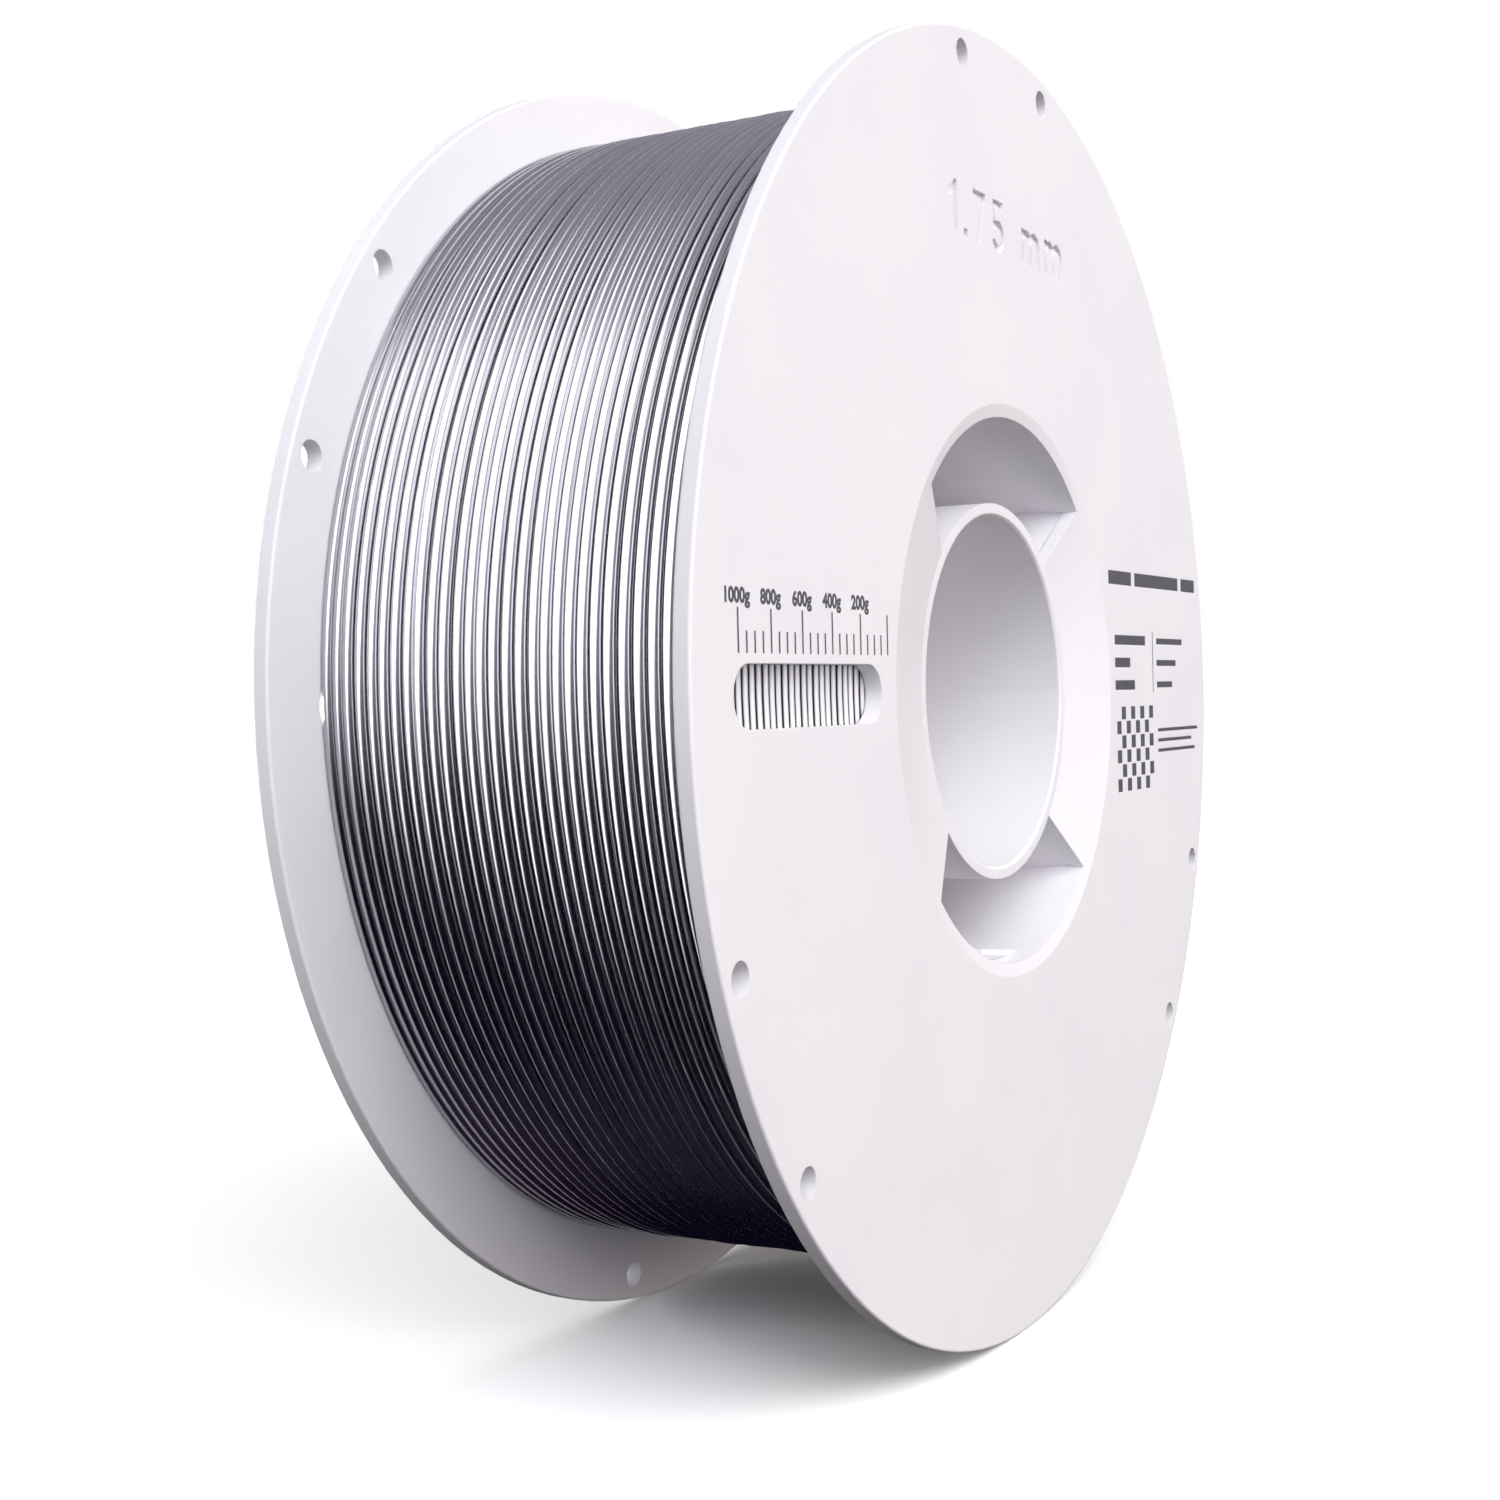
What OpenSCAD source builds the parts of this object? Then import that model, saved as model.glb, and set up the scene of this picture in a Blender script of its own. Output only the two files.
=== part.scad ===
// Plastic filament spool: two identical moulded halves, snapped together at the
// middle of the drum, and one long strand of 1.75 mm filament wound between them.
// The spool's axis runs along Y with the origin at the middle of the bore. The
// printed front flange faces -Y, Z is up and the sight slots point along -X.

/* [Flanges] */
// Diameter of both flanges
flange_d = 200; // [196:1:206]
// Overall width over both flanges
width = 65.7; // [62:0.1:72]
// Thickness of a flange
flange_t = 2.5; // [2.2:0.1:3]
// Radius of the rounded rim edges
rim_r = 0.4; // [0.2:0.1:0.8]

/* [Hub] */
// Diameter of the bore that the spindle passes through
bore_d = 55; // [52:0.5:56]
// Wall thickness of the bore tube
tube_wall = 1.9; // [1.6:0.1:2.2]
// Diameter where the dished hub face starts
dish_d = 88.8; // [88:0.2:89.6]
// Depth of the dish at the bore tube
dish_depth = 3; // [2:0.1:4]
// Outer diameter of the drum that the strand is wound on
drum_d = 90; // [89:0.5:92]
// Outer diameter of the two pockets, which is the drum's inside
pocket_d = 84.8; // [84:0.2:85.6]
// Half of each pocket's opening angle
pocket_half_angle = 45; // [40:1:46]
// Draft of the pockets' side walls
pocket_draft = 5; // [2:1:6]
// Thickness of the dished web and of the pocket side walls
web_t = 2.2; // [1.8:0.1:2.6]

/* [Sight slot] */
// Width of the slot
slot_w = 8; // [6:0.5:9]
// Distance from the axis to the slot's inner end
slot_in = 49; // [48:0.5:52]
// Distance from the axis to the slot's outer end
slot_out = 90; // [86:0.5:91]

/* [Rim holes] */
// Diameter of the holes that park the strand's free end
park_d = 4.3; // [4.2:0.1:6]
// Radius of the circle that the holes lie on
park_r = 96; // [95:0.5:96.5]
// Angle between the two holes of a pair
park_pitch = 19.3; // [16:0.1:24]

/* [Filament] */
// Diameter of the strand
strand_d = 1.75; // [1.6:0.05:1.8]
// Outer diameter of the full winding
winding_d = 179.4; // [150:0.2:181]
// Clearance that the winding keeps from the plastic around it
wind_gap = 0.05; // [0.02:0.01:0.2]

/* [Numbers and print] */
// Depth of the sunk figures in the flange face
sunk = 0.6; // [0.3:0.1:1]
// Thickness of the printed foil, which lies flush in the flange face
foil = 0.06; // [0.04:0.01:0.12]
// Distance between two marks of the weight scale
mark_pitch = 2.08; // [1.9:0.01:2.1]
// Distance from the axis to the scale's empty mark
mark_zero = 46.9; // [46.5:0.1:48]
// Width of one mark of the weight scale
mark_w = 0.4; // [0.2:0.05:0.6]

/* [Hidden] */
$fn = 96;
R = flange_d / 2;
W = width / 2;
Wi = W - flange_t;
bore_r = bore_d / 2;
tube_r = bore_r + tube_wall;
dish_r = dish_d / 2;
drum_r = drum_d / 2;
pocket_r = pocket_d / 2;
tube_top = W - dish_depth;
// lap joint between the halves
lap = 3;
lap_r = (drum_r + pocket_r) / 2;
lap_gap = 0.1;
// strand anchor: a ramped boss over a slanted tunnel through the drum wall
boss_z = 24.2;
boss_w = 8.8;
boss_lean = 55;
anchor_a = -99;
anchor_r = 42.4;
white = [0.95, 0.95, 0.96];
ink = [0.25, 0.25, 0.27];
silver = [0.62, 0.61, 0.64];

function pol(r, a) = [r * cos(a), r * sin(a)];

// wedge between two angles, wide enough to cut anything inside radius r
module wedge(a0, a1, r = 120) {
    polygon([[0, 0], pol(r, a0), pol(r, a0 + (a1 - a0) / 3), pol(r, a0 + 2 * (a1 - a0) / 3), pol(r, a1)]);
}

module ring_2d(r0, r1) {
    difference() { circle(r = r1); circle(r = r0); }
}

// ---------- one moulded half, outer face up at z = W, parting plane at z = 0 ----------

module half_profile() {
    // flange disc with rounded rim
    translate([pocket_r, Wi]) square([R - rim_r - pocket_r, flange_t - (pocket_r < dish_r ? 1 : 0)]);
    translate([dish_r, Wi]) square([R - rim_r - dish_r, flange_t]);
    translate([R - 2 * rim_r, Wi + rim_r]) square([2 * rim_r, flange_t - 2 * rim_r]);
    translate([R - rim_r, Wi + rim_r]) circle(r = rim_r, $fn = 32);
    translate([R - rim_r, W - rim_r]) circle(r = rim_r, $fn = 32);
    // dished web
    polygon([[dish_r, W], [tube_r - 0.5, tube_top - 0.5 * dish_depth / (dish_r - tube_r)],
             [tube_r - 0.5, tube_top - web_t], [dish_r, Wi]]);
    // bore tube with a small chamfer at its mouth
    polygon([[bore_r, 0], [tube_r, 0], [tube_r, tube_top], [bore_r + 0.35, tube_top],
             [bore_r, tube_top - 0.35]]);
    // drum wall
    translate([pocket_r, 0]) square([drum_r - pocket_r, Wi + 0.5]);
}

// straight wall along one side of a pocket, leaning into it with depth
module pocket_wall(side) {
    // it leans across the window's edge just under the web
    top = tube_top - web_t - 0.5;
    r0 = tube_r - 0.8;
    r1 = pocket_r + 0.8;
    // its top edge runs inside the dished web
    slope = dish_depth / (dish_r - tube_r);
    rotate([0, 0, 90 - side * pocket_half_angle]) translate([0, 0, top])
        rotate([side * pocket_draft, 0, 0])
            translate([0, side > 0 ? 0 : web_t, -top]) rotate([90, 0, 0])
                linear_extrude(web_t)
                    polygon([[r0, -3], [r1, -3], [r1, W - 1.2 - (dish_r - r1) * slope],
                             [r0, W - 1.2 - (dish_r - r0) * slope]]);
}

module pocket_walls() {
    difference() {
        for (top = [0, 180], side = [-1, 1]) rotate([0, 0, top]) pocket_wall(side);
        translate([-60, -60, -20]) cube([120, 120, 20]);
    }
}

module anchor_boss() {
    difference() {
        translate([0, 0, boss_z - boss_w / 2])
            linear_extrude(boss_w)
                polygon([pol(drum_r - 0.8, anchor_a + 23), pol(pocket_r, anchor_a + 20),
                         pol(anchor_r - 2.1, anchor_a + 4), pol(anchor_r - 2.1, anchor_a),
                         pol(drum_r - 0.8, anchor_a), pol(drum_r - 0.8, anchor_a + 12)]);
        // under a narrow lip its front side leans back along the ramp
        translate(concat(pol(anchor_r - 1.25, anchor_a + 4), boss_z + boss_w / 2))
            rotate([0, 0, anchor_a + 92]) rotate([boss_lean, 0, 0])
                translate([-20, -12, 0]) cube([40, 12, 12]);
    }
}

// the tunnel's centre line passes the axis at anchor_r, square to the radius at anchor_a
module along_tunnel(from, to, r) {
    rotate([0, 0, anchor_a]) translate([anchor_r, 0, boss_z]) rotate([-90, 0, 0])
        translate([0, 0, from]) cylinder(h = to - from, r = r, $fn = 32);
}

// snap hook that reaches across the parting plane into the other half's catch
module snap_hook(a) {
    rotate([0, 0, a]) {
        translate([39, -4, -7]) cube([2, 8, 17]);
        translate([39, -4, 5]) cube([4, 8, 5]);
        translate([40.5, 4, 0]) rotate([90, 0, 0]) linear_extrude(8)
            polygon([[0, -7], [0.5, -7], [2.7, -5.2], [2.7, -4.6], [0, -4.6]]);
    }
}

module snap_catch(a) {
    rotate([0, 0, a]) translate([36, -4.5, 4.4]) cube([7.6, 9, 3.4]);
}

module half() {
    difference() {
        union() {
            difference() {
                rotate_extrude($fn = 128) half_profile();
                // two windows in the dished web
                for (top = [0, 180])
                    rotate([0, 0, top + 90]) translate([0, 0, Wi - 8])
                        linear_extrude(20) intersection() {
                            ring_2d(tube_r, pocket_r);
                            wedge(-pocket_half_angle, pocket_half_angle);
                        }
            }
            pocket_walls();
            anchor_boss();
            // inner lip of the lap joint, on the upper side only
            translate([0, 0, -lap]) linear_extrude(lap + 1) intersection() {
                ring_2d(pocket_r, lap_r - lap_gap / 2);
                wedge(3, 177);
            }
            snap_hook(20);
            snap_hook(160);
        }
        // recess that takes the other half's lip
        translate([0, 0, -1]) linear_extrude(1 + lap + lap_gap) intersection() {
            ring_2d(pocket_r - 0.4, lap_r + lap_gap / 2);
            wedge(-179, -1);
        }
        snap_catch(-20);
        snap_catch(-160);
        along_tunnel(-4, 24, strand_d / 2 + 0.3);
        // sight slot, along the -X side
        translate([0, 0, Wi - 1]) linear_extrude(flange_t + 2) {
            translate([-slot_out + slot_w / 2, -slot_w / 2]) square([slot_out - slot_in - slot_w, slot_w]);
            for (x = [slot_in + slot_w / 2, slot_out - slot_w / 2]) translate([-x, 0]) circle(d = slot_w);
        }
        // rim holes, in three pairs
        for (a = [90, 210, 330], s = [-1, 1])
            rotate([0, 0, a + s * park_pitch / 2]) translate([park_r, 0, Wi - 1])
                cylinder(h = flange_t + 2, d = park_d, $fn = 48);
        // strand size, sunk into the face
        translate([0.8, 67.4, W - sunk]) linear_extrude(sunk + 1)
            figures(["1", ".", "7", "5", " ", "m", "m"], 7.9, 1.1, 7.3);
    }
}

// ---------- figures, drawn as strokes ----------

module bar(p, q, w) {
    d = q - p;
    translate(p) rotate(atan2(d[1], d[0])) translate([0, -w / 2]) square([norm(d), w]);
}

module bow(c, r, a0, a1, w) {
    translate(c) intersection() {
        difference() { circle(r = r + w / 2, $fn = 32); circle(r = r - w / 2, $fn = 32); }
        wedge(a0, a1, 3 * r);
    }
}

// one figure of height h and stroke w; x runs from 0 to its own width
function fig_width(c, h, w) =
    c == "1" ? 0.42 * h : c == "." ? w * 1.2 : c == " " ? 0.32 * h :
    c == "m" ? 0.98 * h : 0.62 * h;

module figure(c, h, w) {
    b = 0.62 * h;       // body width
    r = (b - w) / 2;    // bowl radius to the stroke's middle
    if (c == "1") {
        bar([0.42 * h - w / 2, 0], [0.42 * h - w / 2, h], w);
        bar([0.04 * h, 0.7 * h], [0.42 * h - w / 2, h - w * 0.6], w);
    }
    if (c == "5") {
        bow([b / 2, r + w / 2], r, -160, 140, w);
        bar([w / 2 + 0.06 * h, r + w * 0.9], [w / 2 + 0.06 * h, h], w);
        bar([0.06 * h, h - w / 2], [b - 0.04 * h, h - w / 2], w);
    }
    if (c == "7") {
        bar([0, h - w / 2], [b, h - w / 2], w);
        bar([b - w / 2, h - w / 2], [b * 0.34, 0], w);
    }
    if (c == ".") square([w * 1.2, w * 1.2]);
    if (c == "m") {
        q = (0.98 * h - w) / 4;
        t = 0.72 * h - q - w / 2;
        for (i = [0 : 2]) bar([w / 2 + i * 2 * q, 0], [w / 2 + i * 2 * q, i == 0 ? 0.72 * h : t], w);
        for (i = [0, 1]) bow([w / 2 + (2 * i + 1) * q, t], q, 0, 180, w);
    }
}

// a row of figures, centred on x = 0; step is the cell of a full-width figure
module figures(cs, h, w, step) {
    n = len(cs);
    at = [for (i = 0, x = 0; i < n; x = x + fig_width(cs[i], h, w) + (step - 0.62 * h), i = i + 1) x];
    total = at[n - 1] + fig_width(cs[n - 1], h, w);
    for (i = [0 : n - 1]) translate([at[i] - total / 2, 0]) figure(cs[i], h, w);
}

// ---------- printed foil on the front face, in the half's own frame ----------

module scale_2d() {
    // 0 to 1000 g in steps of 50 g, a long mark every 200 g
    for (i = [0 : 20]) {
        long = i % 4 == 0;
        translate([-mark_zero - i * mark_pitch - mark_w / 2, 5.25]) square([mark_w, long ? 5.45 : 2.7]);
    }
}

// plain bars and a plain grid: a layout with no words in it
module info_2d() {
    for (b = [[44.3, 12.2, 2.4, 18.4], [58.4, 25.6, 2.4, 18.4], [86, 8.6, 2.4, 18.4],
              [47, 16.8, 1.7, 7.8], [47, 8.2, 1.7, 3.8], [47, 10.6, 1.7, -0.2],
              [70.3, 15.6, 1.1, 8.1], [70.3, 11.6, 1.1, 4.1], [70.3, 9.2, 1.1, 0.1],
              [70.4, 24.6, 0.6, -8.1], [70.4, 20.6, 0.6, -10], [70.4, 22.6, 0.6, -11.9]])
        translate([b[0], b[3]]) square([b[1], b[2]]);
    translate([67.9, -0.7]) square([0.35, 11.2]);
    // grid of squares with a frame
    for (i = [0 : 7], j = [0 : 5])
        if ((i + j) % 2 == 0)
            translate([47.3 + i * 2.56 + 0.15, -18.4 + j * 2.56 + 0.15]) square([2.26, 2.26]);
}

module on_front() { rotate([90, 0, 0]) children(); }
module on_rear() { rotate([-90, 0, 0]) children(); }

module front_half() {
    color(white) on_front() difference() {
        half();
        translate([0, 0, W - foil]) linear_extrude(1) { scale_2d(); info_2d(); }
    }
}

module rear_half() { color(white) on_rear() half(); }

module weight_scale() {
    color(ink) on_front() translate([0, 0, W - foil]) linear_extrude(foil) scale_2d();
}

module info_print() {
    color(ink) on_front() translate([0, 0, W - foil]) linear_extrude(foil) info_2d();
}

// ---------- the strand ----------

module filament_winding() {
    color(silver) rotate([90, 0, 0]) rotate_extrude($fn = 128)
        translate([drum_r + wind_gap, -Wi + wind_gap])
            square([winding_d / 2 - drum_r - wind_gap, 2 * (Wi - wind_gap)]);
}

// inner end, pushed through the front half's anchor
module filament_start() {
    color(silver) on_front() along_tunnel(1, 12, strand_d / 2);
}

// Outer end: it leaves the last turn, passes out through one rim hole of the rear
// flange, along the outside and back in through the other hole of the pair.
// Each point is an angle around the axis, a radius and a height along Y.
end_a = 30 - park_pitch / 2;
in_y = Wi - strand_d / 2 - 0.175;
out_y = W + strand_d / 2 + 0.125;
// the strand's bend at each side of a rim hole
bend_r = 2.4;
bend_a = 58;
bend = [for (k = [0 : 4]) bend_r * [sin(bend_a * k / 4), 1 - cos(bend_a * k / 4)]];
// half of what a passage through the flange takes along the rim
half_s = bend[4][0] + ((out_y - in_y) / 2 - bend[4][1]) / tan(bend_a);
function at_hole(a, s, y) = [a + s / park_r * 180 / PI, park_r, y];
route = concat(
    [for (p = [[-10.95, -5.25], [-8.35, -4.1], [-6.2, -2.8], [-4.6, -1.7], [-3.4, -0.8], [-2.5, -0.3]])
        [end_a + p[0], park_r + p[1], in_y]],
    [for (k = [0 : 4]) at_hole(end_a, bend[k][0] - half_s, in_y + bend[k][1])],
    [for (k = [4 : -1 : 0]) at_hole(end_a, half_s - bend[k][0], out_y - bend[k][1])],
    [for (k = [1 : 5]) at_hole(end_a + park_pitch * k / 6, 0, out_y)],
    [for (k = [0 : 4]) at_hole(end_a + park_pitch, bend[k][0] - half_s, out_y - bend[k][1])],
    [for (k = [1 : 4]) at_hole(end_a + park_pitch, bend[4][0] - half_s + 1.9 * k * cos(bend_a),
                               out_y - bend[4][1] - 1.9 * k * sin(bend_a))]
);
pts = [for (p = route) [p[1] * cos(p[0]), p[2], p[1] * sin(p[0])]];
function unit(v) = v / norm(v);
function tangent(i) = unit(pts[min(i + 1, len(pts) - 1)] - pts[max(i - 1, 0)]);
// each ring is square to the route, with one side kept radial
function ring_at(i, n, r) =
    let (t = tangent(i), out = unit([pts[i][0], 0, pts[i][2]]),
         u = unit(out - (out * t) * t), v = cross(t, u))
    [for (k = [0 : n - 1]) pts[i] + r * (cos(k * 360 / n) * u + sin(k * 360 / n) * v)];

module filament_free_end() {
    n = 12;
    m = len(pts);
    rings = [for (i = [0 : m - 1]) each ring_at(i, n, strand_d / 2)];
    color(silver) polyhedron(points = rings,
        faces = concat(
            [[for (k = [0 : n - 1]) k]],
            [for (i = [0 : m - 2], k = [0 : n - 1])
                [i * n + k, (i + 1) * n + k, (i + 1) * n + (k + 1) % n, i * n + (k + 1) % n]],
            [[for (k = [n - 1 : -1 : 0]) (m - 1) * n + k]]));
}

front_half();
rear_half();
filament_winding();
filament_start();
filament_free_end();
weight_scale();
info_print();
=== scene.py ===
import math
import random

import bmesh
import bpy
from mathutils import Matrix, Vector, noise


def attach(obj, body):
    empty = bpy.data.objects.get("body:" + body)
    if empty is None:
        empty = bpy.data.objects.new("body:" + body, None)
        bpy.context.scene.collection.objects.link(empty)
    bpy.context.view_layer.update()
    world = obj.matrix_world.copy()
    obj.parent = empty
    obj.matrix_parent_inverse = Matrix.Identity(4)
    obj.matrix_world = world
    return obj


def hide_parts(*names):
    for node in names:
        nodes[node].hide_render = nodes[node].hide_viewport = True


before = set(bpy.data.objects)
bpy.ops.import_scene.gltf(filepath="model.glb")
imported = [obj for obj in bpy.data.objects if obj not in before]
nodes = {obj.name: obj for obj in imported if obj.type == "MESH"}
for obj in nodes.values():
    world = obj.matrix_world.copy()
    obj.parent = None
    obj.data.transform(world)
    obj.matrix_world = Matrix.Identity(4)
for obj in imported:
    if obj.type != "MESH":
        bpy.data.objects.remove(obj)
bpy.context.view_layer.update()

# ------------------------------------------------------------------ sizes, in metres

MM = 0.001
STRAND = 1.75 * MM
R_STRAND = STRAND / 2
Y_IN = 30.35 * MM            # inner face of each flange
Y_FACE = -32.85 * MM         # outer face of the printed flange
R_DRUM = 45.0 * MM
TURNS = 31                   # turns in the layer on top
TOP_R = 89.05 * MM           # centre line of the top layer
LIFT = 1.6 * MM              # how much fuller the winding is at the top than at the bottom


# ------------------------------------------------------------------ node helpers

def material(name):
    m = bpy.data.materials.new(name)
    m.use_nodes = True
    nt = m.node_tree
    nt.nodes.clear()
    out = nt.nodes.new("ShaderNodeOutputMaterial")
    bsdf = nt.nodes.new("ShaderNodeBsdfPrincipled")
    nt.links.new(bsdf.outputs[0], out.inputs[0])
    return m, nt, bsdf


def noise_tex(nt, vector, scale, detail=2.0, rough=0.5):
    n = nt.nodes.new("ShaderNodeTexNoise")
    n.inputs["Scale"].default_value = scale
    n.inputs["Detail"].default_value = detail
    n.inputs["Roughness"].default_value = rough
    nt.links.new(vector, n.inputs["Vector"])
    return n.outputs["Fac"]


def remap(nt, value, a, b, lo, hi):
    n = nt.nodes.new("ShaderNodeMapRange")
    n.inputs["From Min"].default_value = a
    n.inputs["From Max"].default_value = b
    n.inputs["To Min"].default_value = lo
    n.inputs["To Max"].default_value = hi
    nt.links.new(value, n.inputs["Value"])
    return n.outputs["Result"]


def mix_colour(nt, fac, a, b):
    n = nt.nodes.new("ShaderNodeMix")
    n.data_type = "RGBA"
    n.inputs[6].default_value = (*a, 1)
    n.inputs[7].default_value = (*b, 1)
    nt.links.new(fac, n.inputs[0])
    return n.outputs[2]


def bump(nt, height, strength, distance, normal=None):
    n = nt.nodes.new("ShaderNodeBump")
    n.inputs["Strength"].default_value = strength
    n.inputs["Distance"].default_value = distance
    nt.links.new(height, n.inputs["Height"])
    if normal is not None:
        nt.links.new(normal, n.inputs["Normal"])
    return n.outputs["Normal"]


def object_coords(nt):
    return nt.nodes.new("ShaderNodeTexCoord").outputs["Object"]


def scaled(nt, vector, x, y, z):
    n = nt.nodes.new("ShaderNodeMapping")
    n.inputs["Scale"].default_value = (x, y, z)
    nt.links.new(vector, n.inputs["Vector"])
    return n.outputs["Vector"]


# ------------------------------------------------------------------ materials

def white_plastic():
    """Moulded styrene: satin white with a trace of violet, faint flow clouding and a fine spark texture."""
    m, nt, b = material("white_moulded_plastic")
    co = object_coords(nt)
    clouds = noise_tex(nt, co, 38.0, 3.0, 0.55)
    grain = noise_tex(nt, co, 900.0, 3.0, 0.6)
    fine = noise_tex(nt, co, 3200.0, 2.0, 0.5)
    base = mix_colour(nt, remap(nt, clouds, 0.3, 0.7, 0.0, 1.0), (0.865, 0.85, 0.878), (0.9, 0.888, 0.908))
    nt.links.new(base, b.inputs["Base Color"])
    nt.links.new(remap(nt, grain, 0.3, 0.7, 0.4, 0.52), b.inputs["Roughness"])
    edge = nt.nodes.new("ShaderNodeBevel")
    edge.samples = 6
    edge.inputs["Radius"].default_value = 0.22 * MM
    n1 = bump(nt, grain, 0.16, 0.03 * MM, edge.outputs["Normal"])
    n2 = bump(nt, fine, 0.1, 0.012 * MM, n1)
    nt.links.new(n2, b.inputs["Normal"])
    b.inputs["IOR"].default_value = 1.5
    b.inputs["Specular IOR Level"].default_value = 0.22
    return m


def silver_strand(name, wound, tones=((0.5, 0.495, 0.52), (0.57, 0.565, 0.59)), metallic=1.0, gloss=(0.18, 0.23),
                  painted_crevice_shade=None):
    """Silk filament: a bright metallic sheen with drawn streaks along the strand and slow changes in tone. The last
    argument paints shade on each turn's sides towards the turns below and above it, where shade falls between turns,
    as the cosine of the angle round the strand."""
    m, nt, b = material(name)
    if wound:
        uv = nt.nodes.new("ShaderNodeUVMap")
        uv.uv_map = "UVMap"
        co = uv.outputs["UV"]
        drawn = noise_tex(nt, scaled(nt, co, 16.0, 0.25, 1.0), 1.0, 3.0, 0.6)
        slow = noise_tex(nt, scaled(nt, co, 4.0, 0.2, 1.0), 1.0, 2.0, 0.5)
    else:
        co = object_coords(nt)
        drawn = noise_tex(nt, co, 500.0, 3.0, 0.6)
        slow = noise_tex(nt, co, 60.0, 2.0, 0.5)
    grain = noise_tex(nt, object_coords(nt), 2600.0, 2.0, 0.6)
    base = mix_colour(nt, remap(nt, slow, 0.3, 0.7, 0.0, 1.0), *tones)
    # painted shade: the sides of a turn that face its neighbouring turns are darkened, standing in for the shade
    # between turns
    if painted_crevice_shade:
        part = nt.nodes.new("ShaderNodeSeparateXYZ")
        nt.links.new(co, part.inputs[0])
        turn = part.outputs[0]
        for kind, value in (("MULTIPLY", 2 * math.pi), ("COSINE", None), ("ABSOLUTE", None)):
            n = nt.nodes.new("ShaderNodeMath")
            n.operation = kind
            nt.links.new(turn, n.inputs[0])
            if value is not None:
                n.inputs[1].default_value = value
            turn = n.outputs[0]
        dark = nt.nodes.new("ShaderNodeMix")
        dark.data_type = "RGBA"
        nt.links.new(remap(nt, turn, *painted_crevice_shade, 0.0, 1.0), dark.inputs[0])
        nt.links.new(base, dark.inputs[6])
        # colour of the painted shade between turns
        dark.inputs[7].default_value = (0.02, 0.02, 0.024, 1)
        base = dark.outputs[2]
    nt.links.new(base, b.inputs["Base Color"])
    b.inputs["Metallic"].default_value = metallic
    nt.links.new(remap(nt, drawn, 0.3, 0.7, *gloss), b.inputs["Roughness"])
    n1 = bump(nt, drawn, 0.025, 0.02 * MM)
    n2 = bump(nt, grain, 0.004, 0.01 * MM, n1)
    nt.links.new(n2, b.inputs["Normal"])
    return m


def print_ink():
    """Pad-printed dark grey ink, slightly uneven in cover."""
    m, nt, b = material("dark_grey_ink")
    co = object_coords(nt)
    cover = noise_tex(nt, co, 1800.0, 3.0, 0.6)
    base = mix_colour(nt, remap(nt, cover, 0.35, 0.75, 0.0, 1.0), (0.045, 0.044, 0.05), (0.1, 0.098, 0.108))
    nt.links.new(base, b.inputs["Base Color"])
    nt.links.new(remap(nt, cover, 0.3, 0.7, 0.42, 0.58), b.inputs["Roughness"])
    nt.links.new(bump(nt, cover, 0.2, 0.01 * MM), b.inputs["Normal"])
    return m


PLASTIC = white_plastic()
SILVER = silver_strand("silver_silk_wound", True)
SILVER_END = silver_strand("silver_silk_end", False)
# the turns behind the sight slots: a paler, less metallic copy of the same silk, painted light so that these turns
# read bright in the slot, with painted shade between the turns
SILVER_SIDE_LIT = silver_strand("silver_silk_side_lit_and_shaded", True, ((0.78, 0.778, 0.79), (0.86, 0.858, 0.87)), 0.2, (0.3, 0.4),
                            (0.62, 0.74))
INK = print_ink()


def dress(obj, mat):
    obj.data.materials.clear()
    obj.data.materials.append(mat)


for n in ("front_half", "rear_half"):
    dress(nodes[n], PLASTIC)
for n in ("weight_scale", "info_print"):
    dress(nodes[n], INK)
dress(nodes["filament_start"], SILVER_END)


# ------------------------------------------------------------------ the strand

def smooth_noise(x, seed):
    return noise.noise(Vector((x, seed * 7.31, seed * 3.17)))


def tube(points, sides, closed, u0=0.0, seed=0.0):
    """A tube of the strand's own diameter along a path. Each ring has one side kept radial. Returns verts, faces, uvs."""
    n = len(points)
    verts, faces, uvs = [], [], []
    length = [0.0]
    for i in range(1, n):
        length.append(length[-1] + (points[i] - points[i - 1]).length)
    for i, p in enumerate(points):
        if closed:
            t = points[(i + 1) % n] - points[i - 1]
        else:
            t = points[min(i + 1, n - 1)] - points[max(i - 1, 0)]
        t.normalize()
        out = Vector((p.x, 0, p.z)).normalized()
        u = (out - t * out.dot(t)).normalized()
        v = t.cross(u)
        for k in range(sides):
            a = 2 * math.pi * k / sides
            verts.append(p + (u * math.cos(a) + v * math.sin(a)) * R_STRAND)
    last = n if closed else n - 1
    whole = length[-1] + (points[0] - points[-1]).length if closed else length[-1]
    for i in range(last):
        j = (i + 1) % n
        li, lj = length[i], (whole if closed and j == 0 else length[j])
        for k in range(sides):
            q = (k + 1) % sides
            faces.append((i * sides + k, j * sides + k, j * sides + q, i * sides + q))
            a, b = k / sides, (k + 1) / sides
            s, e = (u0 + li) * 100, (u0 + lj) * 100
            uvs.extend(((a + seed, s), (a + seed, e), (b + seed, e), (b + seed, s)))
    if not closed:
        faces.append(tuple(range(sides)))
        faces.append(tuple((n - 1) * sides + k for k in reversed(range(sides))))
        uvs.extend([(seed, 0.0)] * (2 * sides))
    return verts, faces, uvs


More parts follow.
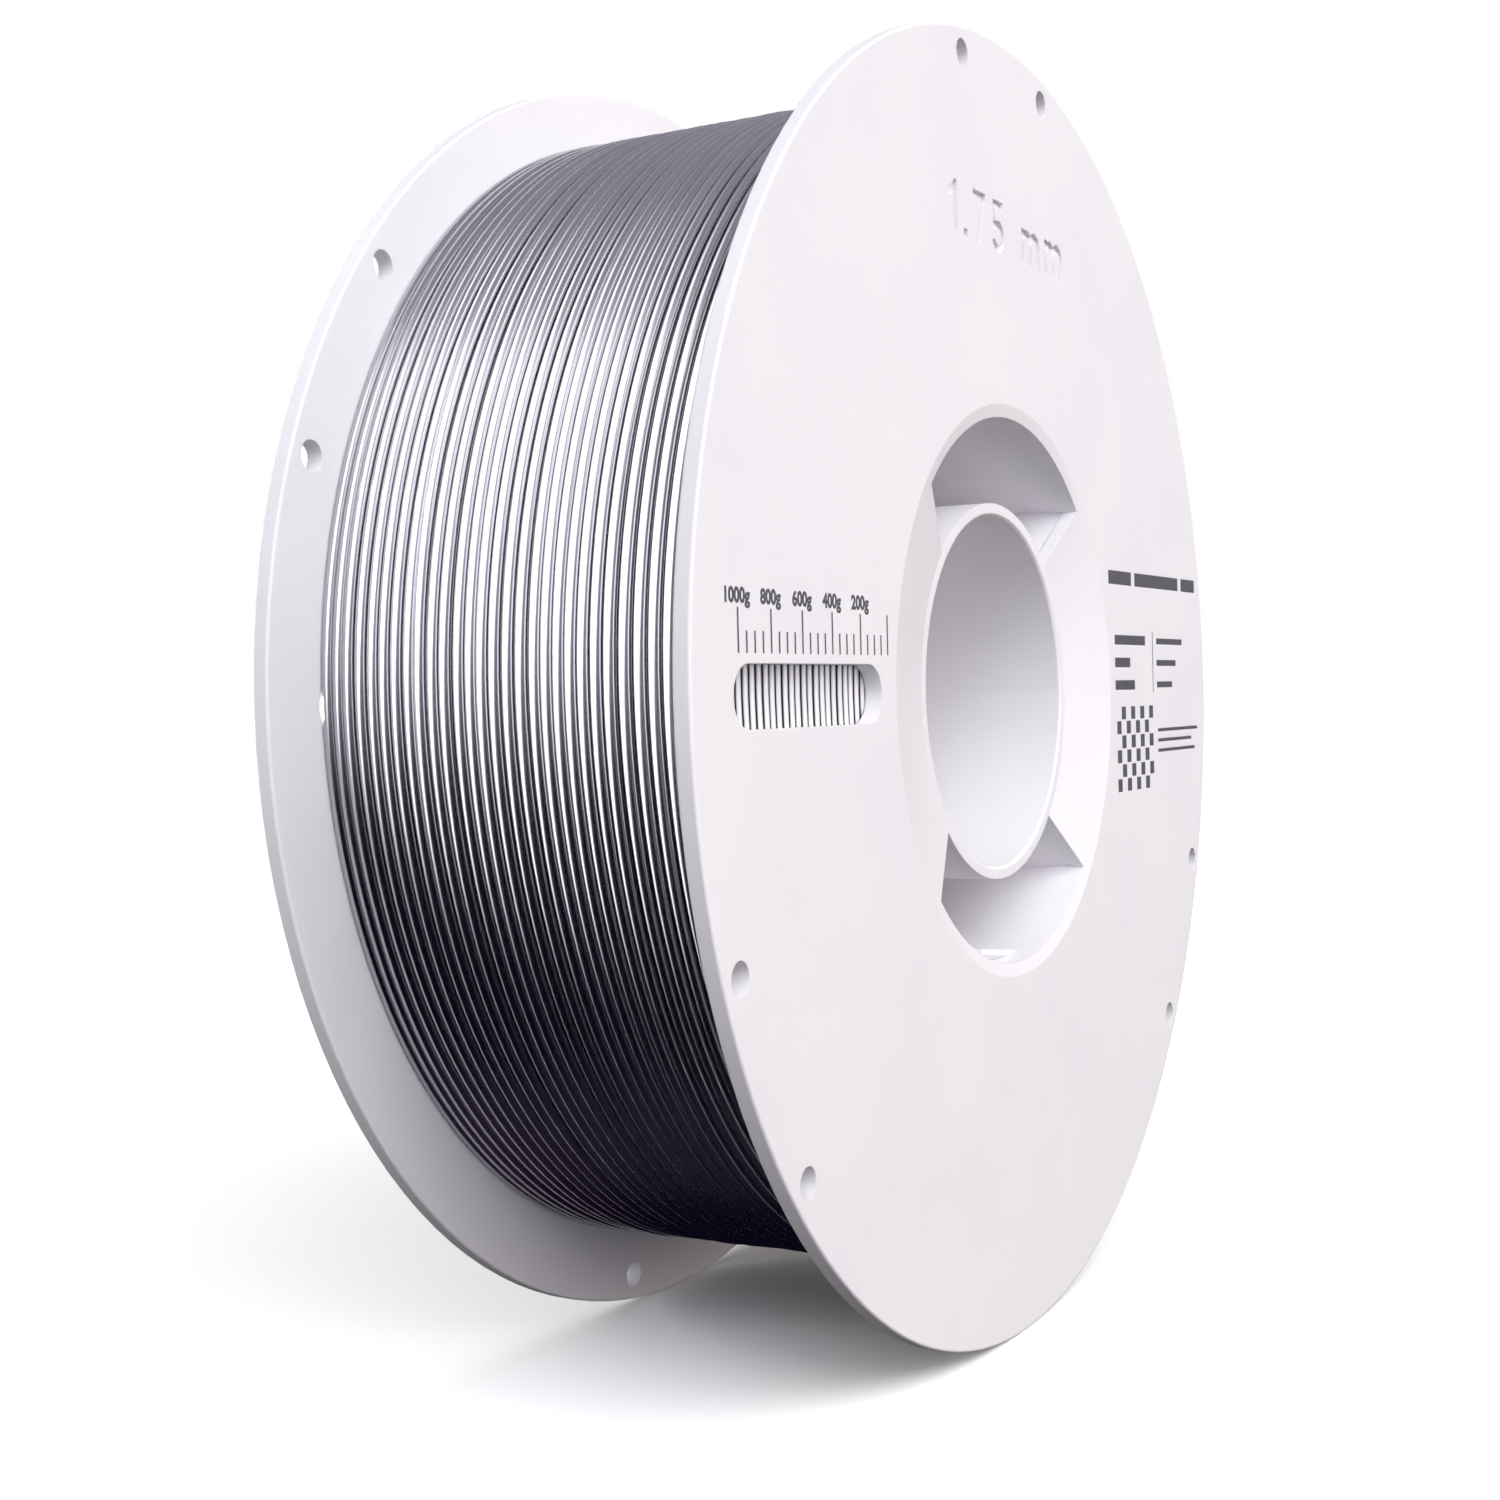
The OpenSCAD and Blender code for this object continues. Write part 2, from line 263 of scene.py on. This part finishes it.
def mesh_object(name, parts, mat):
    verts, faces, uvs = [], [], []
    for v, f, u in parts:
        at = len(verts)
        verts.extend(v)
        faces.extend(tuple(i + at for i in face) for face in f)
        uvs.extend(u)
    mesh = bpy.data.meshes.new(name)
    mesh.from_pydata([tuple(v) for v in verts], [], faces)
    layer = mesh.uv_layers.new(name="UVMap")
    layer.data.foreach_set("uv", [c for uv in uvs for c in uv])
    mesh.polygons.foreach_set("use_smooth", [len(p.vertices) == 4 for p in mesh.polygons])
    mesh.materials.append(mat)
    mesh.update()
    o = bpy.data.objects.new(name, mesh)
    bpy.context.scene.collection.objects.link(o)
    return o


def polar(r, a, y):
    return Vector((r * math.cos(a), y, r * math.sin(a)))


def lay_turns():
    """Where each turn of the top layer lies along Y: most lie close, a few leave a gap that shows the turns below."""
    rng = random.Random(41)
    raw = []
    for i in range(TURNS - 1):
        p = rng.uniform(1.88, 2.02)
        if rng.random() < 0.2:
            p = rng.uniform(2.06, 2.2)
        elif rng.random() < 0.25:
            p = rng.uniform(1.72, 1.8)
        raw.append(p)
    span = 2 * (Y_IN - R_STRAND - 0.04 * MM)
    k = span / sum(raw)
    at = [-span / 2]
    for p in raw:
        at.append(at[-1] + p * k)
    return at


LAY = lay_turns()
A_END = math.radians(-2.2)   # angle at which the last turn leaves for the rear rim hole
SEG = 168
STEPS = TURNS * SEG
CROSS = 0.24                 # share of a turn, either side of A_END, in which it steps over to its next place


def wander(turn, seed, size):
    return size * (smooth_noise(turn * 1.9, seed) + 0.6 * smooth_noise(turn * 5.3, seed + 9))


def ease(t):
    t = min(max(t, 0.0), 1.0)
    return t * t * (3 - 2 * t)


def top_y(turn):
    k = min(int(turn), TURNS - 1)
    f = turn - k
    here = LAY[k]
    y = here
    if f > 1 - CROSS and k < TURNS - 1:
        y = here + (LAY[k + 1] - here) * ease((f - 1 + CROSS) / (2 * CROSS))
    elif f < CROSS and k > 0:
        y = LAY[k - 1] + (here - LAY[k - 1]) * ease((f + CROSS) / (2 * CROSS))
    loose = min(1.0, turn, TURNS - turn)
    return y + wander(turn, 1.0, 0.1 * MM) * loose


def base_radius(a, fullness=1.0):
    return TOP_R + LIFT * math.sin(a) * fullness


def top_points():
    pts = []
    ys = [top_y(k / SEG) for k in range(STEPS + 1)]
    for k in range(STEPS + 1):
        turn = k / SEG
        a = A_END - (TURNS - turn) * 2 * math.pi
        r = base_radius(a) + 0.05 * MM * smooth_noise(turn * 3.1, 5.0) + 0.17 * MM * smooth_noise(turn * 0.93, 15.0)
        # where two turns come closer than a strand's width, every other one rides up
        for other in (k - SEG, k + SEG):
            if 0 <= other <= STEPS:
                d = abs(ys[k] - ys[other])
                if d < STRAND and int(turn) % 2 == 0:
                    r += math.sqrt(STRAND ** 2 - d ** 2) * 0.5
        pts.append([r, a, ys[k]])
    # the very first turn starts under its neighbour
    for k in range(24):
        pts[k][0] -= (1 - k / 24) ** 2 * 0.6 * MM
    return [polar(*p) for p in pts]


def parked_end():
    """Route of the parked outer end, as degrees around the axis, radius and height in mm: up the flange, out through
    one rim hole, along the outside and back in through the other."""
    hole, pitch, r, bend, lean = 20.35, 19.3, 96.0, 2.4, math.radians(58)
    y0, y1 = 29.3, 33.85
    turn = [(bend * math.sin(lean * k / 6), bend * (1 - math.cos(lean * k / 6))) for k in range(7)]
    far, rise = turn[-1]
    half = far + ((y1 - y0) / 2 - rise) / math.tan(lean)

    def at(a, s, y):
        return (a + math.degrees(s / r), r, y)

    out = [(3.5, 89.35, 29.36), (6.5, 89.9, 29.33), (9.4, 90.75, y0), (12, 91.9, y0), (14.15, 93.2, y0),
           (15.75, 94.3, y0), (16.95, 95.2, y0), (17.85, 95.7, y0)]
    out += [at(hole, s - half, y0 + h) for s, h in turn]
    out += [at(hole, half - s, y1 - h) for s, h in reversed(turn)]
    out += [at(hole + pitch * k / 6, 0, y1) for k in range(1, 6)]
    out += [at(hole + pitch, s - half, y1 - h) for s, h in turn]
    out += [at(hole + pitch, far - half + 1.9 * k * math.cos(lean), y1 - rise - 1.9 * k * math.sin(lean))
            for k in range(1, 5)]
    return out


def spline(points, step):
    """Points along a centripetal curve through the given ones, about a step apart."""
    out = []
    p = [points[0] * 2 - points[1], *points, points[-1] * 2 - points[-2]]
    for i in range(1, len(p) - 2):
        a, b, c, d = p[i - 1:i + 3]
        count = max(1, round((c - b).length / step))
        for k in range(count):
            t = k / count
            out.append(0.5 * ((2 * b) + (c - a) * t + (2 * a - 5 * b + 4 * c - d) * t * t
                              + (3 * b - a - 3 * c + d) * t * t * t))
    out.append(points[-1].copy())
    return out


top = top_points()
tail = [polar(r * MM, math.radians(a), y * MM) for a, r, y in parked_end()]
path = top[:-1] + spline([top[-1], *tail], 1.1 * MM)
outer_turns = mesh_object("strand_top_layer", [tube(path, 12, False)], SILVER)


def under_turns():
    """The next layer down lies in the grooves of the one on top."""
    seg = 112
    pts = []
    for k in range((TURNS - 1) * seg + 1):
        turn = k / seg
        a = A_END - (TURNS - turn) * 2 * math.pi
        y0, y1 = top_y(turn), top_y(turn + 1)
        half = abs(y1 - y0) / 2
        drop = math.sqrt(max(STRAND ** 2 - half ** 2, (0.6 * STRAND) ** 2))
        pts.append(polar(base_radius(a) - drop - 0.05 * MM, a, (y0 + y1) / 2 + wander(turn, 22.0, 0.1 * MM)))
    return pts


under = mesh_object("strand_under_layer", [tube(under_turns(), 10, False, seed=3.3)], SILVER)


def side_stack(side):
    """The outermost turn of each layer, as seen through the flange's sight slot."""
    rng = random.Random(7 + side)
    parts = []
    layers = 25
    r_low, r_high = R_DRUM + R_STRAND + 0.05 * MM, 87.0 * MM
    for i in range(layers):
        f = i / (layers - 1)
        base = r_low + (r_high - r_low) * f
        y = side * (Y_IN - R_STRAND - 0.04 * MM - rng.uniform(0.0, 0.12) * MM)
        seed = float(rng.randrange(50))
        pts = []
        for k in range(112):
            a = 2 * math.pi * k / 112
            r = base + LIFT * f * math.sin(a) + 0.05 * MM * smooth_noise(math.cos(a) * 2 + seed, 4.0 + math.sin(a))
            wy = side * 0.05 * MM * smooth_noise(math.sin(a) * 2 + seed, 8.0 + math.cos(a))
            pts.append(polar(r, a, y - abs(wy) * side))
        parts.append(tube(pts, 10, True, seed=seed))
    return parts


side_front = mesh_object("strand_side_front", side_stack(-1), SILVER_SIDE_LIT)
side_rear = mesh_object("strand_side_rear", side_stack(1), SILVER_SIDE_LIT)


def core():
    """The turns further in, as one ring with a strand-wide ripple on each of its faces."""
    profile = []
    y0, r0, r1 = 28.1 * MM, R_DRUM + 0.1 * MM, 85.6 * MM
    turns, layers = 30, 22
    for i in range(turns * 6 + 1):
        t = i / (turns * 6)
        profile.append((r1 - 0.35 * MM * (1 - abs(math.sin(math.pi * t * turns))), -y0 + 2 * y0 * t))
    for i in range(1, layers * 6 + 1):
        t = i / (layers * 6)
        profile.append((r1 - 0.35 * MM + (r0 - r1) * t, y0 + 0.3 * MM * abs(math.sin(math.pi * t * layers))))
    for i in range(layers * 6, 0, -1):
        t = i / (layers * 6)
        profile.append((r1 - 0.35 * MM + (r0 - r1) * t, -y0 - 0.3 * MM * abs(math.sin(math.pi * t * layers))))
    m, seg = len(profile), 96
    verts, faces, uvs = [], [], []
    for k in range(seg):
        a = 2 * math.pi * k / seg
        for r, y in profile:
            f = (r - r0) / (r1 - r0)
            verts.append(polar(r + LIFT * max(0.0, f) * math.sin(a), a, y))
    for k in range(seg):
        q = (k + 1) % seg
        for i in range(m):
            j = (i + 1) % m
            faces.append((k * m + i, k * m + j, q * m + j, q * m + i))
            s, e = k / seg * 50, (k + 1) / seg * 50
            uvs.extend(((i / 6, s), (j / 6, s), (j / 6, e), (i / 6, e)))
    return verts, faces, uvs


inner = mesh_object("strand_inner_turns", [core()], SILVER)

for o in (outer_turns, under, side_front, side_rear, inner):
    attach(o, "root")
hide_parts("filament_winding", "filament_free_end")


# ------------------------------------------------------------------ numbers of the weight scale

def numerals(name, text, x, baseline, height, width):
    """Printed numbers, a hair thick, standing on the front face."""
    c = bpy.data.curves.new(name, "FONT")
    c.body = text
    c.size = 1.0
    c.align_x = "CENTER"
    c.offset = 0.045
    c.extrude = 0.004
    c.resolution_u = 4
    o = bpy.data.objects.new(name, c)
    bpy.context.scene.collection.objects.link(o)
    dg = bpy.context.evaluated_depsgraph_get()
    mesh = bpy.data.meshes.new_from_object(o.evaluated_get(dg))
    bpy.data.objects.remove(o)
    bpy.data.curves.remove(c)
    bm = bmesh.new()
    bm.from_mesh(mesh)
    bmesh.ops.remove_doubles(bm, verts=bm.verts, dist=1e-5)
    bmesh.ops.dissolve_degenerate(bm, edges=bm.edges, dist=1e-5)
    bm.to_mesh(mesh)
    bm.free()
    xs = [v.co.x for v in mesh.vertices]
    digit = 0.73               # a figure's height in a font of size 1
    sx, sy = width / (max(xs) - min(xs)), height / digit
    mid = (max(xs) + min(xs)) / 2
    zs = [v.co.z for v in mesh.vertices]
    deep = max(zs) - min(zs)
    for v in mesh.vertices:
        px, py, pz = v.co
        v.co = (x + (px - mid) * sx, Y_FACE - 0.012 * MM + (0.02 * MM) * (max(zs) - pz) / deep, baseline + py * sy)
    mesh.materials.clear()
    mesh.materials.append(INK)
    made = bpy.data.objects.new(name, mesh)
    bpy.context.scene.collection.objects.link(made)
    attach(made, "root")
    return made


for i, (text, wide) in enumerate((("200g", 5.3), ("400g", 5.3), ("600g", 5.3), ("800g", 5.3), ("1000g", 6.2))):
    at = -(46.9 + 2.08 * 4 * (i + 1))
    numerals("scale_numbers_" + text, text, at * MM, 11.3 * MM, 1.85 * MM, wide * MM)


# ------------------------------------------------------------------ floor, light, camera

def stage_floor():
    mesh = bpy.data.meshes.new("floor")
    s = 3.0
    mesh.from_pydata([(-s, -s, 0), (s, -s, 0), (s, s, 0), (-s, s, 0)], [], [(0, 1, 2, 3)])
    m, nt, b = material("floor_white")
    co = object_coords(nt)
    nt.nodes.remove(b)
    b = nt.nodes.new("ShaderNodeBsdfDiffuse")
    nt.links.new(b.outputs[0], nt.nodes["Material Output"].inputs[0])
    tone = mix_colour(nt, noise_tex(nt, co, 6.0), (1.44, 1.44, 1.44), (1.5, 1.5, 1.5))
    nt.links.new(tone, b.inputs["Color"])
    mesh.materials.append(m)
    o = bpy.data.objects.new("floor", mesh)
    o.location = (0, 0, -0.1)
    bpy.context.scene.collection.objects.link(o)
    o.visible_diffuse = False
    o.visible_glossy = False
    return o


stage_floor()


def studio():
    """A white room for the camera. Matt surfaces get a sky that is bright above and dim below, and the gloss sees a
    broad white panel to the left and behind in a dim room."""
    w = bpy.data.worlds.new("studio")
    bpy.context.scene.world = w
    w.use_nodes = True
    w.cycles.sampling_method = "NONE"
    nt = w.node_tree
    nt.nodes.clear()
    out = nt.nodes.new("ShaderNodeOutputWorld")
    way = nt.nodes.new("ShaderNodeTexCoord").outputs["Generated"]
    sep = nt.nodes.new("ShaderNodeSeparateXYZ")
    nt.links.new(way, sep.inputs[0])
    x, y, z = sep.outputs

    def calc(kind, a, b, clamp=False):
        n = nt.nodes.new("ShaderNodeMath")
        n.operation = kind
        n.use_clamp = clamp
        for i, v in enumerate((a, b)):
            if isinstance(v, (int, float)):
                n.inputs[i].default_value = v
            else:
                nt.links.new(v, n.inputs[i])
        return n.outputs[0]

    def eased(value, a, b, lo=0.0, hi=1.0):
        n = nt.nodes.new("ShaderNodeMapRange")
        n.interpolation_type = "SMOOTHSTEP"
        for k, v in zip(("From Min", "From Max", "To Min", "To Max"), (a, b, lo, hi)):
            n.inputs[k].default_value = v
        nt.links.new(value, n.inputs["Value"])
        return n.outputs["Result"]

    def background(strength, colour):
        bg = nt.nodes.new("ShaderNodeBackground")
        bg.inputs[0].default_value = (*colour, 1)
        if isinstance(strength, (int, float)):
            bg.inputs[1].default_value = strength
        else:
            nt.links.new(strength, bg.inputs[1])
        return bg.outputs[0]

    def mixed(fac, a, b):
        n = nt.nodes.new("ShaderNodeMixShader")
        nt.links.new(fac, n.inputs[0])
        nt.links.new(a, n.inputs[1])
        nt.links.new(b, n.inputs[2])
        return n.outputs[0]

    def added(a, b):
        n = nt.nodes.new("ShaderNodeAddShader")
        nt.links.new(a, n.inputs[0])
        nt.links.new(b, n.inputs[1])
        return n.outputs[0]

    def along(angle):
        """How far a direction points along a compass direction, in degrees from +X towards +Y."""
        a = math.radians(angle)
        return calc("ADD", calc("MULTIPLY", x, math.cos(a)), calc("MULTIPLY", y, math.sin(a)))

    # light on matt surfaces: a sum of broad soft sources, each with its own compass direction, height and colour
    heights = {"high": eased(z, 0.3, 0.6), "low": eased(z, -0.3, -0.05, 1.0, 0.0)}
    heights["mid"] = calc("SUBTRACT", calc("SUBTRACT", 1.0, heights["high"]), heights["low"])
    soft = None
    for (angle, height), colour in SKY.items():
        ahead = calc("MAXIMUM", along(angle), 0.0)
        one = background(calc("MULTIPLY", calc("MULTIPLY", ahead, ahead), heights[height]), colour)
        soft = one if soft is None else added(soft, one)

    # what the gloss sees: a dim violet room, and a white panel to the left and behind that reaches lower towards the
    # back and thins out towards the front
    room = calc("ADD", eased(z, -0.3, 0.25, 0.0, ROOM_MID), eased(z, 0.3, 0.9, 0.0, ROOM_HIGH - ROOM_MID))
    floor = calc("MULTIPLY", eased(x, -0.35, -0.1), eased(x, 0.2, 0.4, 1.0, 0.0))
    floor = calc("MULTIPLY", floor, eased(z, -0.7, -0.4, 1.0, 0.0))
    foot = eased(calc("ADD", z, calc("MULTIPLY", along(100.0), PANEL_SLANT)), *PANEL_FOOT)
    panel = calc("MULTIPLY", foot, eased(x, 0.0, 0.3, 1.0, 0.0))
    panel = calc("MULTIPLY", panel, eased(z, PANEL_TOP[0], PANEL_TOP[1], 1.0, 0.0))
    reach = calc("SUBTRACT", y, calc("MULTIPLY", calc("MAXIMUM", z, 0.0), PANEL_LEAN))
    panel = calc("MULTIPLY", panel, eased(reach, *PANEL_FRONT))
    # a smaller panel in front and to the right, which the sight slot's turns mirror
    front = calc("MULTIPLY", eased(along(-62.0), 0.8, 0.94), eased(z, -0.15, 0.0))
    front = calc("MULTIPLY", front, eased(z, 0.5, 0.7, 1.0, 0.0))
    lit = calc("ADD", calc("MULTIPLY", panel, PANEL_POWER), calc("MULTIPLY", front, FRONT_POWER))
    gloss = added(background(lit, (0.99, 0.98, 1.03)), background(room, (0.975, 0.93, 1.1)))
    gloss = added(gloss, background(calc("MULTIPLY", floor, ROOM_FLOOR), (0.98, 0.76, 1.35)))
    gloss = added(gloss, background(ROOM_LOW, (0.7, 0.4, 1.7)))

    white = background(1.0, (1.0, 1.0, 1.0))
    ray = nt.nodes.new("ShaderNodeLightPath")
    first = calc("MULTIPLY", ray.outputs["Is Glossy Ray"], calc("LESS_THAN", ray.outputs["Diffuse Depth"], 0.5))
    lit = mixed(first, soft, gloss)
    nt.links.new(mixed(ray.outputs["Is Camera Ray"], lit, white), out.inputs[0])


SKY = {
    (-135, "high"): (6.72, 6.72, 6.95), (-135, "mid"): (0.28, 0.28, 0.55),
    (180, "high"): (0.9, 0.89, 0.9),
    (-90, "high"): (0.45, 0.45, 0.44), (-90, "mid"): (1.5, 1.38, 1.17),
    (45, "high"): (0.735, 0.738, 0.742), (45, "mid"): (0.127, 0.118, 0.09),
    (135, "low"): (0.6, 0.585, 0.5), (90, "high"): (0.145, 0.145, 0.14), (0, "high"): (0.2, 0.197, 0.17),
}
SOFTBOX_POWER, BACK_POWER = 1.34, 4.8
ROOM_LOW, ROOM_MID, ROOM_HIGH, ROOM_FLOOR = 0.006, 0.43, 0.38, 0.018
PANEL_SLANT, PANEL_FOOT, PANEL_TOP = 0.55, (-0.13, 0.14), (0.76, 0.97)
PANEL_LEAN, PANEL_FRONT = 0.5, (-1.0, -0.4)
PANEL_POWER, FRONT_POWER = 3.0, 2.5
studio()


def softbox(name, at, aim, size, power, colour=(1, 1, 1)):
    d = bpy.data.lights.new(name, "AREA")
    d.shape = "RECTANGLE"
    d.size, d.size_y = size
    d.energy = power
    d.color = colour
    o = bpy.data.objects.new(name, d)
    o.location = at
    o.rotation_euler = (Vector(aim) - Vector(at)).to_track_quat("-Z", "Y").to_euler()
    o.visible_camera = False
    bpy.context.scene.collection.objects.link(o)
    return o


# in front and above: the even white of the printed face, a little less towards its foot
softbox("softbox_front", (-0.12, -0.62, 0.5), (0, 0, 0.02), (0.6, 0.5), SOFTBOX_POWER)
# straight behind, so that the rear face reads as white plastic too
softbox("softbox_back", (0, 1.0, -0.01), (0, 0, 0), (0.3, 0.16), BACK_POWER)


def camera():
    az, el, tilt = math.radians(-61.034), math.radians(-1.209), math.radians(2.95)
    back = Vector((math.sin(az) * math.cos(el), -math.cos(az) * math.cos(el), math.sin(el)))
    right = (-back).cross(Vector((0, 0, 1))).normalized()
    up = right.cross(-back)

    def turned(v):
        c, s = math.cos(tilt), math.sin(tilt)
        return Vector((v.x * c + v.z * s, v.y, -v.x * s + v.z * c))

    r, u, b = turned(right), turned(up), turned(back)
    d = bpy.data.cameras.new("camera")
    d.sensor_width = 36.0
    d.lens = 49.754
    d.clip_start, d.clip_end = 0.01, 20.0
    o = bpy.data.objects.new("camera", d)
    bpy.context.scene.collection.objects.link(o)
    m = o.matrix_world
    for i in range(3):
        m[i][0], m[i][1], m[i][2] = r[i], u[i], b[i]
    m[0][3], m[1][3], m[2][3] = -0.303328, -0.152990, -0.000408
    o.matrix_world = m
    bpy.context.scene.camera = o


camera()
bpy.context.scene.view_settings.view_transform = "Standard"
bpy.context.scene.view_settings.look = "None"
